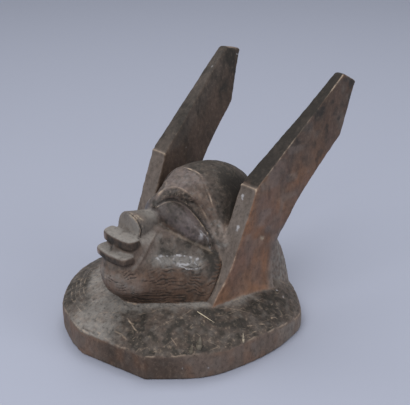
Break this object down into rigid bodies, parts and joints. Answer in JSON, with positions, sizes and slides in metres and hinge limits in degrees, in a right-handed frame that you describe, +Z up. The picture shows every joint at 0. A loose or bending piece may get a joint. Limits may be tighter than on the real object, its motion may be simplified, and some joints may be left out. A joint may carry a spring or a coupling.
{
  "type": "carved wooden headdress",
  "caption": "Carved dark wood headdress: a face tilted up on an oval base plate, with long plank-like hare's ears swept back from its temples.",
  "frame": {"origin": "on the underside, in the middle of the carving's length and width", "axes": "+Z up from the base plate, -Y where the face looks, +X towards the face's left ear"},
  "size_m": [0.2209, 0.2658, 0.2335],
  "materials": {
    "wood": "old carved wood with a dark, dry, slightly shiny patina, redder on the ears and worn light along the edges"
  },
  "bodies": {
    "root": {"headdress": "wood"}
  },
  "joints": []
}
